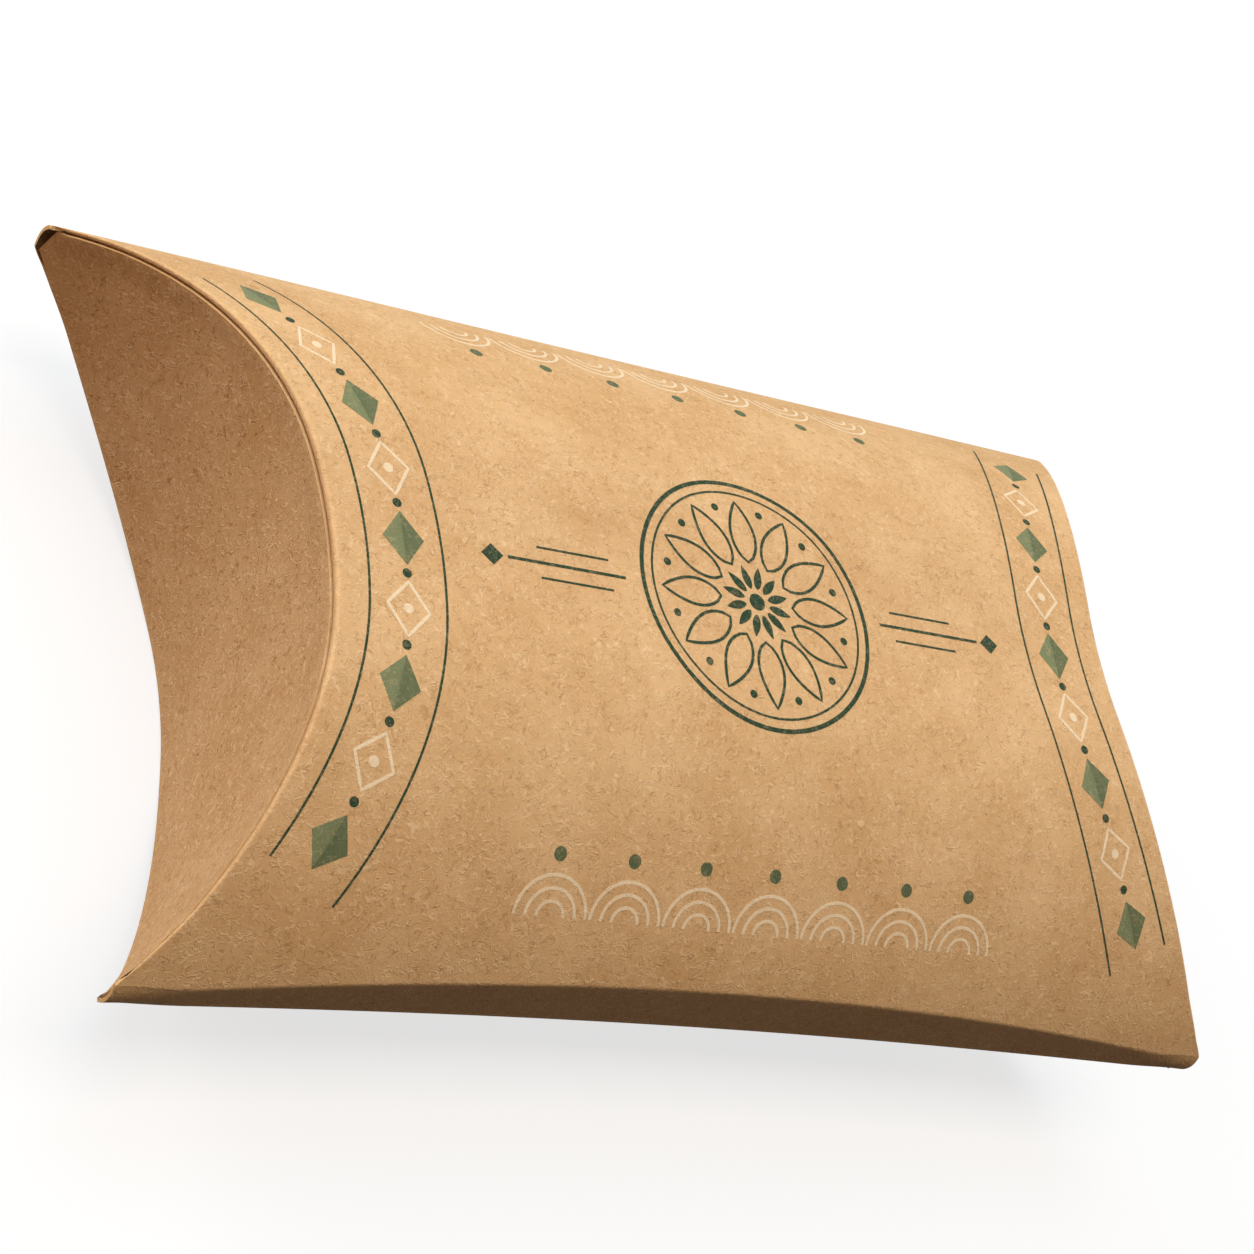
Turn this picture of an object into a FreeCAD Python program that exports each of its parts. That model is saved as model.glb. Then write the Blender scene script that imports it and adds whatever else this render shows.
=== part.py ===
import FreeCAD, Part
import math
import os

import Sketcher

# A pillow box of kraft board, lying on its back panel.
# +X runs along the box, +Y across it and +Z out of the front panel.
# The origin is on the resting surface, under the middle of the box.
os.makedirs("parts", exist_ok=True)
doc = FreeCAD.newDocument("pillow_box")
sheet = doc.addObject("Spreadsheet::Sheet", "sizes")

# Driving dimensions in millimetres.
DRIVING = [
    ("box_length", 150.0),       # along a long edge, tip to tip
    ("box_width", 90.0),         # across an end, tip to tip
    ("box_depth", 40.0),         # from the back crown to the front crown
    ("board", 0.45),             # thickness of the kraft board
    ("crown_flat", 16.0),        # flat stretch along the crown of each panel
    ("tip_opening", 2.4),        # from panel to panel at the open corner tips
    ("end_sagitta", 19.5),       # depth of the curved end scores in the outline
    ("side_sagitta", 3.2),       # depth of the curved side scores in the outline
    ("side_end_room", 0.8),      # from the tip to the end of a side strip
    ("flap_inset", 0.25),        # from the panel's end to the closed outer flap
    ("flap_step", 0.3),          # air between the outer and the inner flap
    ("flap_room", 0.3),          # air between a free edge and the panel it meets
    ("outer_fold_gap", 1.6),     # bending room at the score of an outer flap
    ("inner_fold_gap", 2.4),     # bending room at the score of an inner flap
    ("outer_tip_room", 1.5),     # from the tip to the side of an outer flap
    ("inner_tip_room", 4.0),     # from the tip to the side of an inner flap
    ("inner_reach", 20.5),       # height of an inner flap at its middle
    ("glue_length", 100.0),      # long side of the glue flap
    ("glue_width", 11.0),        # width of the glue flap
    ("glue_taper", 8.0),         # slant of each end of the glue flap
    ("glue_film", 0.12),         # thickness of the adhesive
    ("glue_margin", 1.5),        # bare rim of the glue flap around the adhesive
    ("overrun", 2.0),            # how far a trimming solid reaches past its work
]

# Sizes that follow from the driving dimensions.
DERIVED = [
    ("half_length", "box_length / 2"),
    ("half_width", "box_width / 2"),
    ("half_crown", "crown_flat / 2"),
    ("arch_run", "half_width - half_crown"),
    ("arch_rise", "(box_depth - tip_opening) / 2"),
    ("arch_radius", "(arch_run ^ 2 + arch_rise ^ 2) / (2 * arch_rise)"),
    ("end_radius", "(half_width ^ 2 + end_sagitta ^ 2) / (2 * end_sagitta)"),
    ("end_centre", "half_length - end_sagitta + end_radius"),
    ("side_radius", "(half_length ^ 2 + side_sagitta ^ 2) / (2 * side_sagitta)"),
    ("side_centre", "half_width - side_sagitta + side_radius"),
    ("side_half", "half_length - side_end_room"),
    ("outer_half", "half_width - outer_tip_room"),
    ("inner_half", "half_width - inner_tip_room"),
    ("outer_face", "end_radius + flap_inset"),
    ("outer_back", "outer_face + board"),
    ("inner_face", "outer_back + flap_step"),
    ("inner_back", "inner_face + board"),
    ("outer_top_gap", "board + flap_room"),
    ("outer_low_gap", "board + outer_fold_gap"),
    ("inner_top_gap", "board + inner_fold_gap"),
    ("inner_edge", "box_depth - inner_top_gap - inner_reach"),
    ("film_gap", "board + glue_film"),
    ("glue_gap", "film_gap + board"),
    ("glue_seat", "side_radius + board"),
    ("glue_edge", "side_centre - glue_seat - glue_width"),
    ("pad_length", "box_length + 2 * overrun"),
    ("pad_depth", "2 * (box_depth + overrun)"),
]


def fill_sheet():
    for row, (alias, value) in enumerate(DRIVING, start=1):
        sheet.set(f"A{row}", alias)
        sheet.set(f"B{row}", str(value))
        sheet.setAlias(f"B{row}", alias)
    for row, (alias, formula) in enumerate(DERIVED, start=1):
        sheet.set(f"C{row}", alias)
        sheet.set(f"D{row}", "=" + formula)
        sheet.setAlias(f"D{row}", alias)
    doc.recompute()


fill_sheet()
ALIASES = [alias for alias, _ in DRIVING + DERIVED]


def size(alias):
    """A size from the sheet as a plain number."""
    return float(sheet.get(alias))


def size_of(expression):
    """The value of a sum of sizes from the sheet, or of zero."""
    return float(sheet.evalExpression(expression))


class Outline:
    """A closed sketch of lines and arcs whose sizes follow the sheet."""

    # The sketcher's own numbers for the axes and for the points of an edge.
    V_AXIS, H_AXIS = range(-2, 0)
    START, END, CENTRE = range(1, 4)
    ORIGIN = (H_AXIS, START)

    def __init__(self, body, role, name):
        self.sketch = body.newObject("Sketcher::SketchObject", name)
        plane = next(f for f in body.Origin.OriginFeatures if f.Role == role)
        self.sketch.AttachmentSupport = [(plane, "")]
        self.sketch.MapMode = "FlatFace"

    def line(self, first, last):
        edge = Part.LineSegment(FreeCAD.Vector(*first, 0), FreeCAD.Vector(*last, 0))
        return self.sketch.addGeometry(edge, False)

    def arc(self, centre, radius, start, end):
        """An arc that runs anticlockwise from start to end about its centre."""
        circle = Part.Circle(FreeCAD.Vector(*centre, 0), FreeCAD.Vector(0, 0, 1), radius)
        angles = [math.atan2(p[1] - centre[1], p[0] - centre[0]) for p in (start, end)]
        return self.sketch.addGeometry(Part.ArcOfCircle(circle, *angles), False)

    def rule(self, kind, *where):
        self.sketch.addConstraint(Sketcher.Constraint(kind, *where))

    def bind(self, kind, *where, to):
        """A dimension that takes its value from an expression on the sheet."""
        index = self.sketch.addConstraint(Sketcher.Constraint(kind, *where, size_of(to)))
        words = [f"sizes.{word}" if word in ALIASES else word for word in to.split()]
        self.sketch.setExpression(f"Constraints[{index}]", " ".join(words))

    def place(self, edge, end, across, up):
        """Hold one end of an edge at a place measured from the origin."""
        self.bind("DistanceX", *self.ORIGIN, edge, end, to=across)
        self.bind("DistanceY", *self.ORIGIN, edge, end, to=up)

    def join(self, *ends):
        """Close the outline: each pair of ends is one corner."""
        for first, second in ends:
            self.rule("Coincident", *first, *second)

    def mirror(self, first, second):
        """Two ends that lie alike on both sides of the vertical axis."""
        self.rule("Symmetric", *first, *second, self.V_AXIS)


def new_body(name):
    return doc.addObject("PartDesign::Body", name)


def pad(body, outline, length):
    """Extrude an outline both ways from its plane."""
    feature = body.newObject("PartDesign::Pad", body.Name + "_pad")
    feature.Profile = outline.sketch
    feature.SideType = "Symmetric"
    feature.setExpression("Length", "sizes." + length)
    outline.sketch.Visibility = False
    doc.recompute()
    return body


def arch_points(gap, half, upward):
    """Centre, crown end and outer end of the right-hand arch of a panel.

    The arch lies a gap inside the outer face of the panel and ends at a
    distance of half from the middle. The front panel's arch bulges upward.
    """
    sign = 1 if upward else -1
    crown = size("box_depth") - gap if upward else gap
    radius = size("arch_radius") - gap
    centre = (size("half_crown"), crown - sign * radius)
    rise = math.sqrt(radius ** 2 - (half - centre[0]) ** 2)
    return centre, radius, (centre[0], crown), (half, centre[1] + sign * rise)


def flip(point):
    return (-point[0], point[1])


def band_body(name, outer_gap, inner_gap):
    """An arched band as long as the box, between two depths in the front panel."""
    body = new_body(name)
    out = Outline(body, "YZ_Plane", name + "_outline")
    s, e, c = out.START, out.END, out.CENTRE
    reach = {}
    for gap in (outer_gap, inner_gap):
        width = f"half_crown + ( arch_radius - {gap} ) * arch_run / arch_radius"
        reach[gap] = (width, size_of(width))
    centre, radius, top, tip = arch_points(size_of(outer_gap), reach[outer_gap][1], True)
    _, low_radius, low_top, low_tip = arch_points(size_of(inner_gap), reach[inner_gap][1], True)
    right = out.arc(centre, radius, tip, top)
    left = out.arc(flip(centre), radius, flip(top), flip(tip))
    low_right = out.arc(centre, low_radius, low_tip, low_top)
    low_left = out.arc(flip(centre), low_radius, flip(low_top), flip(low_tip))
    crown = out.line(flip(top), top)
    low_crown = out.line(flip(low_top), low_top)
    right_end = out.line(tip, low_tip)
    left_end = out.line(flip(tip), flip(low_tip))
    out.join(((right, e), (crown, e)), ((left, s), (crown, s)))
    out.join(((low_right, e), (low_crown, e)), ((low_left, s), (low_crown, s)))
    out.join(((right, s), (right_end, s)), ((low_right, s), (right_end, e)))
    out.join(((left, e), (left_end, s)), ((low_left, e), (left_end, e)))
    out.place(right, e, "half_crown", f"box_depth - {outer_gap}")
    out.bind("Radius", right, to=f"arch_radius - {outer_gap}")
    out.rule("Vertical", right, c, right, e)
    out.bind("DistanceX", *out.ORIGIN, right, s, to=reach[outer_gap][0])
    out.place(low_right, e, "half_crown", f"box_depth - {inner_gap}")
    out.bind("Radius", low_right, to=f"arch_radius - {inner_gap}")
    out.rule("Vertical", low_right, c, low_right, e)
    out.bind("DistanceX", *out.ORIGIN, low_right, s, to=reach[inner_gap][0])
    for ours, theirs in ((left, right), (low_left, low_right)):
        out.mirror((ours, s), (theirs, e))
        out.mirror((ours, e), (theirs, s))
        out.rule("Equal", ours, theirs)
    return pad(body, out, "pad_length")


def lens_body(name, top_gap, low_gap, half):
    """The room between the two panels, a gap inside each outer face."""
    body = new_body(name)
    out = Outline(body, "YZ_Plane", name + "_outline")
    s, e, c = out.START, out.END, out.CENTRE
    centre, radius, top, tip = arch_points(size(top_gap), size(half), True)
    low_centre, low_radius, low, low_tip = arch_points(size(low_gap), size(half), False)
    right = out.arc(centre, radius, tip, top)
    left = out.arc(flip(centre), radius, flip(top), flip(tip))
    low_right = out.arc(low_centre, low_radius, low, low_tip)
    low_left = out.arc(flip(low_centre), low_radius, flip(low_tip), flip(low))
    crown = out.line(flip(top), top)
    low_crown = out.line(flip(low), low)
    right_end = out.line(tip, low_tip)
    left_end = out.line(flip(tip), flip(low_tip))
    out.join(((right, e), (crown, e)), ((left, s), (crown, s)))
    out.join(((low_right, s), (low_crown, e)), ((low_left, e), (low_crown, s)))
    out.join(((right, s), (right_end, s)), ((low_right, e), (right_end, e)))
    out.join(((left, e), (left_end, s)), ((low_left, s), (left_end, e)))
    out.place(right, e, "half_crown", f"box_depth - {top_gap}")
    out.bind("Radius", right, to=f"arch_radius - {top_gap}")
    out.rule("Vertical", right, c, right, e)
    out.bind("DistanceX", *out.ORIGIN, right, s, to=half)
    out.place(low_right, s, "half_crown", low_gap)
    out.bind("Radius", low_right, to=f"arch_radius - {low_gap}")
    out.rule("Vertical", low_right, c, low_right, s)
    out.bind("DistanceX", *out.ORIGIN, low_right, e, to=half)
    for ours, theirs in ((left, right), (low_left, low_right)):
        out.mirror((ours, s), (theirs, e))
        out.mirror((ours, e), (theirs, s))
        out.rule("Equal", ours, theirs)
    return pad(body, out, "pad_length")


def short_lens_body(name, top_gap, low_edge, half):
    """The room under the front panel, down to a straight free edge."""
    body = new_body(name)
    out = Outline(body, "YZ_Plane", name + "_outline")
    s, e, c = out.START, out.END, out.CENTRE
    centre, radius, top, tip = arch_points(size(top_gap), size(half), True)
    corner = (size(half), size(low_edge))
    right = out.arc(centre, radius, tip, top)
    left = out.arc(flip(centre), radius, flip(top), flip(tip))
    crown = out.line(flip(top), top)
    right_end = out.line(tip, corner)
    left_end = out.line(flip(tip), flip(corner))
    free_edge = out.line(flip(corner), corner)
    out.join(((right, e), (crown, e)), ((left, s), (crown, s)))
    out.join(((right, s), (right_end, s)), ((left, e), (left_end, s)))
    out.join(((right_end, e), (free_edge, e)), ((left_end, e), (free_edge, s)))
    out.place(right, e, "half_crown", f"box_depth - {top_gap}")
    out.bind("Radius", right, to=f"arch_radius - {top_gap}")
    out.rule("Vertical", right, c, right, e)
    out.bind("DistanceX", *out.ORIGIN, right, s, to=half)
    out.mirror((left, s), (right, e))
    out.mirror((left, e), (right, s))
    out.rule("Equal", left, right)
    out.place(free_edge, e, half, low_edge)
    out.mirror((free_edge, s), (free_edge, e))
    return pad(body, out, "pad_length")


def plan_body():
    """The outline of a panel seen from above: four shallow curved scores."""
    body = new_body("panel_plan")
    out = Outline(body, "XY_Plane", "panel_plan_outline")
    s, e = out.START, out.END
    corner = (size("half_length"), size("half_width"))
    far = (-corner[0], -corner[1])
    end_centre, side_centre = (size("end_centre"), 0), (0, size("side_centre"))
    right = out.arc(end_centre, size("end_radius"), corner, (corner[0], far[1]))
    left = out.arc(flip(end_centre), size("end_radius"), far, (far[0], corner[1]))
    upper = out.arc(side_centre, size("side_radius"), (far[0], corner[1]), corner)
    under_centre = (0, -size("side_centre"))
    lower = out.arc(under_centre, size("side_radius"), (corner[0], far[1]), far)
    out.join(((right, s), (upper, e)), ((left, e), (upper, s)))
    out.join(((right, e), (lower, s)), ((left, s), (lower, e)))
    out.place(right, s, "half_length", "half_width")
    out.mirror((upper, s), (upper, e))
    out.rule("Symmetric", right, s, right, e, out.H_AXIS)
    out.mirror((lower, e), (lower, s))
    for edge, radius in ((right, "end_radius"), (upper, "side_radius")):
        out.bind("Radius", edge, to=radius)
    out.rule("Equal", left, right)
    out.rule("Equal", lower, upper)
    return pad(body, out, "pad_depth")


def side_body():
    """The narrow strip of board that stands between the two panels."""
    body = new_body("side_strip")
    out = Outline(body, "XY_Plane", "side_strip_outline")
    s, e, c = out.START, out.END, out.CENTRE
    centre, half = (0, size("side_centre")), size("side_half")
    points = []
    for radius in (size("side_radius"), size_of("side_radius + board")):
        drop = math.sqrt(radius ** 2 - half ** 2)
        points.append((radius, (half, centre[1] - drop)))
    (radius, tip), (back_radius, back_tip) = points
    face = out.arc(centre, radius, flip(tip), tip)
    back = out.arc(centre, back_radius, flip(back_tip), back_tip)
    right_end = out.line(tip, back_tip)
    left_end = out.line(flip(tip), flip(back_tip))
    out.join(((face, e), (right_end, s)), ((back, e), (right_end, e)))
    out.join(((face, s), (left_end, s)), ((back, s), (left_end, e)))
    out.rule("PointOnObject", face, c, out.V_AXIS)
    out.bind("DistanceY", *out.ORIGIN, face, c, to="side_centre")
    out.rule("Coincident", face, c, back, c)
    out.bind("Radius", face, to="side_radius")
    out.bind("Radius", back, to="side_radius + board")
    for edge in (face, back):
        out.bind("DistanceX", *out.ORIGIN, edge, e, to="side_half")
        out.bind("DistanceX", edge, s, *out.ORIGIN, to="side_half")
    return pad(body, out, "pad_depth")


def flap_body(name, face_radius, back_radius, half):
    """A flap at the left end as it lies when closed, bent about a vertical axis."""
    body = new_body(name)
    out = Outline(body, "XY_Plane", name + "_outline")
    s, e, c = out.START, out.END, out.CENTRE
    centre, edge_y = (-size("end_centre"), 0), size(half)
    tips = []
    for radius in (size(face_radius), size(back_radius)):
        tips.append((centre[0] + math.sqrt(radius ** 2 - edge_y ** 2), edge_y))
    (tip, back_tip) = tips
    down = [(x, -y) for x, y in tips]
    face = out.arc(centre, size(face_radius), down[0], tip)
    back = out.arc(centre, size(back_radius), down[1], back_tip)
    top_end = out.line(tip, back_tip)
    low_end = out.line(down[0], down[1])
    out.join(((face, e), (top_end, s)), ((back, e), (top_end, e)))
    out.join(((face, s), (low_end, s)), ((back, s), (low_end, e)))
    out.rule("PointOnObject", face, c, out.H_AXIS)
    out.bind("DistanceX", face, c, *out.ORIGIN, to="end_centre")
    out.rule("Coincident", face, c, back, c)
    out.bind("Radius", face, to=face_radius)
    out.bind("Radius", back, to=back_radius)
    for edge in (face, back):
        out.bind("DistanceY", *out.ORIGIN, edge, e, to=half)
        out.bind("DistanceY", edge, s, *out.ORIGIN, to=half)
    return pad(body, out, "pad_depth")


def glue_body(name, margin):
    """The outline of the glue flap or, with a margin, of its adhesive."""
    body = new_body(name)
    out = Outline(body, "XY_Plane", name + "_outline")
    s, e, c = out.START, out.END, out.CENTRE
    reach, low = f"glue_length / 2 - {margin}", f"glue_edge + {margin}"
    seat, short = f"glue_seat + {margin}", f"{reach} - glue_taper"
    centre, radius = (0, size("side_centre")), size_of(seat)
    half, low_half = size_of(reach), size_of(short)
    tip = (half, centre[1] - math.sqrt(radius ** 2 - half ** 2))
    corner = (low_half, size_of(low))
    fold = out.arc(centre, radius, flip(tip), tip)
    free_edge = out.line(flip(corner), corner)
    right_end = out.line(tip, corner)
    left_end = out.line(flip(tip), flip(corner))
    out.join(((fold, e), (right_end, s)), ((right_end, e), (free_edge, e)))
    out.join(((fold, s), (left_end, s)), ((left_end, e), (free_edge, s)))
    out.rule("PointOnObject", fold, c, out.V_AXIS)
    out.bind("DistanceY", *out.ORIGIN, fold, c, to="side_centre")
    out.bind("Radius", fold, to=seat)
    out.bind("DistanceX", *out.ORIGIN, fold, e, to=reach)
    out.bind("DistanceX", fold, s, *out.ORIGIN, to=reach)
    out.place(free_edge, e, short, low)
    out.mirror((free_edge, s), (free_edge, e))
    return pad(body, out, "pad_depth")


nodes = []


def piece(name, stock, trim, turn=None):
    """A piece of the box: its stock trimmed to its outline and set in place.

    turn is None, "over" for a half turn about the long axis through the
    middle of the box, or "round" for a half turn about the vertical axis.
    """
    node = doc.addObject("Part::Common", name)
    node.Base = stock
    node.Tool = trim
    node.Label = name
    half_turn = math.degrees(math.pi)
    if turn == "over":
        rotation = FreeCAD.Rotation(FreeCAD.Vector(1, 0, 0), half_turn)
        node.Placement = FreeCAD.Placement(FreeCAD.Vector(0, 0, 0), rotation)
        node.setExpression("Placement.Base.z", "sizes.box_depth")
    elif turn == "round":
        rotation = FreeCAD.Rotation(FreeCAD.Vector(0, 0, 1), half_turn)
        node.Placement = FreeCAD.Placement(FreeCAD.Vector(0, 0, 0), rotation)
    nodes.append(node)


# Front and back panel: one arched board each, cut along the curved scores.
panel_plan = plan_body()
panel_band = band_body("panel_band", "0", "board")
piece("front_panel", panel_band, panel_plan)
piece("back_panel", panel_band, panel_plan, "over")

# Side strips between the panels along the two long edges.
side_strip = side_body()
side_lens = lens_body("side_lens", "board", "board", "half_width")
piece("upper_side", side_strip, side_lens)
piece("lower_side", side_strip, side_lens, "round")

# The glue flap turns in from the upper side and is stuck inside the front panel.
film_band = band_body("film_band", "board", "film_gap")
piece("glue_line", film_band, glue_body("glue_line_plan", "glue_margin"))
glue_band = band_body("glue_band", "film_gap", "glue_gap")
piece("glue_flap", glue_band, glue_body("glue_flap_plan", "0"))

# Outer end flaps, scored on the back panel and reaching to the front panel.
outer_strip = flap_body("outer_strip", "outer_face", "outer_back", "outer_half")
outer_lens = lens_body("outer_lens", "outer_top_gap", "outer_low_gap", "outer_half")
piece("left_outer_flap", outer_strip, outer_lens)
piece("right_outer_flap", outer_strip, outer_lens, "round")

# Inner end flaps, scored on the front panel behind the outer flaps.
inner_strip = flap_body("inner_strip", "inner_face", "inner_back", "inner_half")
inner_lens = short_lens_body("inner_lens", "inner_top_gap", "inner_edge", "inner_half")
piece("left_inner_flap", inner_strip, inner_lens)
piece("right_inner_flap", inner_strip, inner_lens, "round")

doc.recompute()
for thing in doc.Objects:
    if "Invalid" in thing.State or "Error" in thing.State:
        raise RuntimeError(f"{thing.Name} failed: {thing.State}")
for node in nodes:
    shape = node.Shape
    if shape.isNull() or not shape.isValid() or len(shape.Solids) != 1:
        raise RuntimeError(f"{node.Label} is not one sound solid")
for node in nodes:
    node.Shape.exportStep(f"parts/{node.Label}.step")
    box = node.Shape.BoundBox
    print(f"{node.Label}: {node.Shape.Volume:.1f} mm3, x {box.XMin:.2f}..{box.XMax:.2f}, "
          f"y {box.YMin:.2f}..{box.YMax:.2f}, z {box.ZMin:.2f}..{box.ZMax:.2f}")
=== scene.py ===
"""Looks of the kraft pillow box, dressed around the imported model. Lengths are in metres."""
import math

import bmesh
import bpy
import numpy as np
from mathutils import Matrix, Vector


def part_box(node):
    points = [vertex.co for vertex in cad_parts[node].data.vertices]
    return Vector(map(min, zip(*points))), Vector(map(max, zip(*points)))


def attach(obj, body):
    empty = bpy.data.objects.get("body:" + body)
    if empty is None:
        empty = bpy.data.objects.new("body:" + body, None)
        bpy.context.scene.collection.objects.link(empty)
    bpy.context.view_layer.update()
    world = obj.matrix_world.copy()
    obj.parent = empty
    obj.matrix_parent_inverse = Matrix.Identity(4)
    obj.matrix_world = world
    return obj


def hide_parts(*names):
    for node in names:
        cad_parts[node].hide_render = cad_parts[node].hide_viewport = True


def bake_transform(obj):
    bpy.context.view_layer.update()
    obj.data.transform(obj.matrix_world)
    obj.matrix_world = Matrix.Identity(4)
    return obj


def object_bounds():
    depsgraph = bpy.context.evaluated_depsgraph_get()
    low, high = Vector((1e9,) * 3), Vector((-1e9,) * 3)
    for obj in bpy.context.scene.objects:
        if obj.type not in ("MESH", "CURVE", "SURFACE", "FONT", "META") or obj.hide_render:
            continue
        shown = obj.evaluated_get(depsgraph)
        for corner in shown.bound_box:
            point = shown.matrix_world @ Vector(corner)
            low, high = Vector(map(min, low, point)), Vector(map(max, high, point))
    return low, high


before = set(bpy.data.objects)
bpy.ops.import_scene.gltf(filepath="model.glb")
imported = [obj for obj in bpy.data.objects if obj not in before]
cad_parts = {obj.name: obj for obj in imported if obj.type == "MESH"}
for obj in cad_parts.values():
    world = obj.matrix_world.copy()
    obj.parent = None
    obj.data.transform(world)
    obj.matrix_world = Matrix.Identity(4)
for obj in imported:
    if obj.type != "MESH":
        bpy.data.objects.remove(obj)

CAD_LOW, CAD_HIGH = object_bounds()
MM = 0.001

# The folded board
HALF_LENGTH = CAD_HIGH.x
HALF_WIDTH = CAD_HIGH.y
HALF_DEPTH = (CAD_HIGH.z - CAD_LOW.z) / 2
MIDDLE_Z = (CAD_HIGH.z + CAD_LOW.z) / 2
BOARD = 0.45 * MM
CROWN = 8 * MM
TIP_RISE = 1.2 * MM
END_SAGITTA = 19.5 * MM
SIDE_SAGITTA = 3.2 * MM
RUN = HALF_WIDTH - CROWN
RISE = HALF_DEPTH - TIP_RISE
ARCH_RADIUS = (RUN ** 2 + RISE ** 2) / (2 * RISE)
END_RADIUS = (HALF_WIDTH ** 2 + END_SAGITTA ** 2) / (2 * END_SAGITTA)
SIDE_RADIUS = (HALF_LENGTH ** 2 + SIDE_SAGITTA ** 2) / (2 * SIDE_SAGITTA)

# The corner tips, which end in a short blunt tube
BLUNT = 0.6 * MM
BLUNT_START = 38 * MM
BLUNT_RAMP = 6 * MM
TIP_ROUND = 0.6 * MM
TIP_TUBE = 9 * MM
TIP_ROLL_SHARE = 0.15
# Painted shade on the inner face: where it starts along the box and how far it takes to darken towards the
# tips
PAINTED_SHADE_START = 70 * MM
PAINTED_SHADE_RAMP = 3.5 * MM

# Folds and cut edges
END_ROLL = 0.5 * MM
SIDE_ROLL = 0.35 * MM
LIP = 0.15 * MM
LIP_SHARES = np.array([1.0, 0.5])
ROLL_END = 44.2 * MM
ROLL_FADE = 1.5 * MM
WEAR_WIDTH = 0.45 * MM
FLAP_WEAR_SHARE = 0.8

# Slight unevenness of the panels, with sways in radians
WAVE_HEIGHT = 0.12 * MM
WAVE_MARGIN = 9 * MM
WAVE_LENGTH_X = 17 * MM
WAVE_LENGTH_Y = 13 * MM
SWAY_LENGTH_X = 23 * MM
SWAY_LENGTH_Y = 11 * MM
SWAY_X = 0.8
SWAY_Y = 1.3

# End flaps
FREE_GAP = 0.4 * MM
PROUD = 0.2 * MM
PROUD_LENGTH = 4 * MM
FLAP_REACH = 43.9 * MM
NOSE = 0.35 * MM
NOSE_LEFT_SHARE = 0.2
INNER_STEP = 0.55 * MM
INNER_INSET = 1.1 * MM
INNER_REACH = 41 * MM
INNER_CORNER = 5 * MM
INNER_LEAST = 1 * MM
INNER_ROLL_SHARE = 0.9
STEP_LENGTH = 2.5 * MM

# Mesh counts
ALONG = 72
ACROSS = 110
ROLL_STEPS = 6
FLAP_ROWS = 44
SIDE_COLUMNS = 13
EDGE_SOLVES = 6
EVEN_SHARE = 0.35
MERGE_REACH = MM / 1000
SHARP_ANGLE = math.radians(50)


def smooth(value):
    """Smooth step from 0 to 1."""
    value = np.clip(value, 0, 1)
    return value * value * (3 - 2 * value)


def unit(vectors):
    """Vectors brought to a length of 1."""
    return vectors / np.linalg.norm(vectors, axis=-1, keepdims=True)


def arc_drop(radius, reach):
    """How far an arc falls below its crown at a distance from it."""
    return radius - np.sqrt(radius ** 2 - reach ** 2)


def height(y):
    """Height of the front panel's outer face above the middle plane."""
    return HALF_DEPTH - arc_drop(ARCH_RADIUS, np.maximum(np.abs(y) - CROWN, 0))


def panel_facing(y):
    """Outward direction of the front panel's face."""
    tilt = np.sign(y) * np.maximum(np.abs(y) - CROWN, 0) / ARCH_RADIUS
    return np.stack([y * 0, tilt, np.sqrt(1 - tilt ** 2)], -1)


def end_x(y):
    """Half-length of the panels at y, out to the curved end fold, which turns blunt at the corner tips."""
    blunt = BLUNT * smooth((np.abs(y) - BLUNT_START) / BLUNT_RAMP)
    reach = np.minimum(np.abs(y) + blunt, HALF_WIDTH)
    return HALF_LENGTH - END_SAGITTA + arc_drop(END_RADIUS, reach)


def side_y(x):
    """Half-width of the panels at x, out to the curved long edge."""
    return HALF_WIDTH - SIDE_SAGITTA + arc_drop(SIDE_RADIUS, x) - tip_bulge(x)


def tip_nearness(x):
    """0 along the long edges, rising to 1 at the corner tips."""
    return smooth((np.abs(x) - (HALF_LENGTH - TIP_TUBE)) / TIP_TUBE)


def tip_bulge(x):
    """How far the side strips round outward beyond the panels' edges, near the corner tips only."""
    return TIP_ROUND * tip_nearness(x)


def side_roll_size(x):
    """Radius of the rolled long edge, which nearly runs out at the tips."""
    return SIDE_ROLL * (1 - (1 - TIP_ROLL_SHARE) * tip_nearness(x))


def end_roll_share(y):
    """1 along an end fold, falling to 0 at the corner tips, where the board is cut square."""
    return smooth((ROLL_END - np.abs(y)) / ROLL_FADE)


def end_facing(y):
    """Outward direction of the left end's hollow face, which is square to its arc."""
    out = np.zeros(y.shape + (3,))
    out[..., 0] = -np.sqrt(END_RADIUS ** 2 - y ** 2) / END_RADIUS
    out[..., 1] = -y / END_RADIUS
    return out


def wave(x, y):
    """Slight unevenness of the board, always inward and fading out towards the folds."""
    ripple = np.sin(x / WAVE_LENGTH_X + SWAY_Y * np.sin(y / SWAY_LENGTH_Y))
    ripple = ripple * np.cos(y / WAVE_LENGTH_Y - SWAY_X * np.sin(x / SWAY_LENGTH_X))
    room = smooth((end_x(y) - np.abs(x)) / WAVE_MARGIN) * smooth((side_y(x) - np.abs(y)) / WAVE_MARGIN)
    return -WAVE_HEIGHT * (0.5 + 0.5 * ripple) * room


def bend(start, corner, end, share):
    """Point on a fold that rolls from start to end around a corner."""
    return (1 - share) ** 2 * start + 2 * share * (1 - share) * corner + share ** 2 * end


def worn(distance):
    """Rub marks, strongest at a fold or cut edge and gone a little way from it."""
    return np.exp(-(np.maximum(distance, 0) / WEAR_WIDTH) ** 2)


def eased_columns(count):
    """Shares from -1 to 1, closer together at both ends."""
    share = np.linspace(-1, 1, count)
    return EVEN_SHARE * share + (1 - EVEN_SHARE) * np.sin(share * np.pi / 2)


def eased_rows(count):
    """Shares from -1 to 1, much closer together at both ends."""
    return -np.cos(np.linspace(0, np.pi, count))


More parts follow.
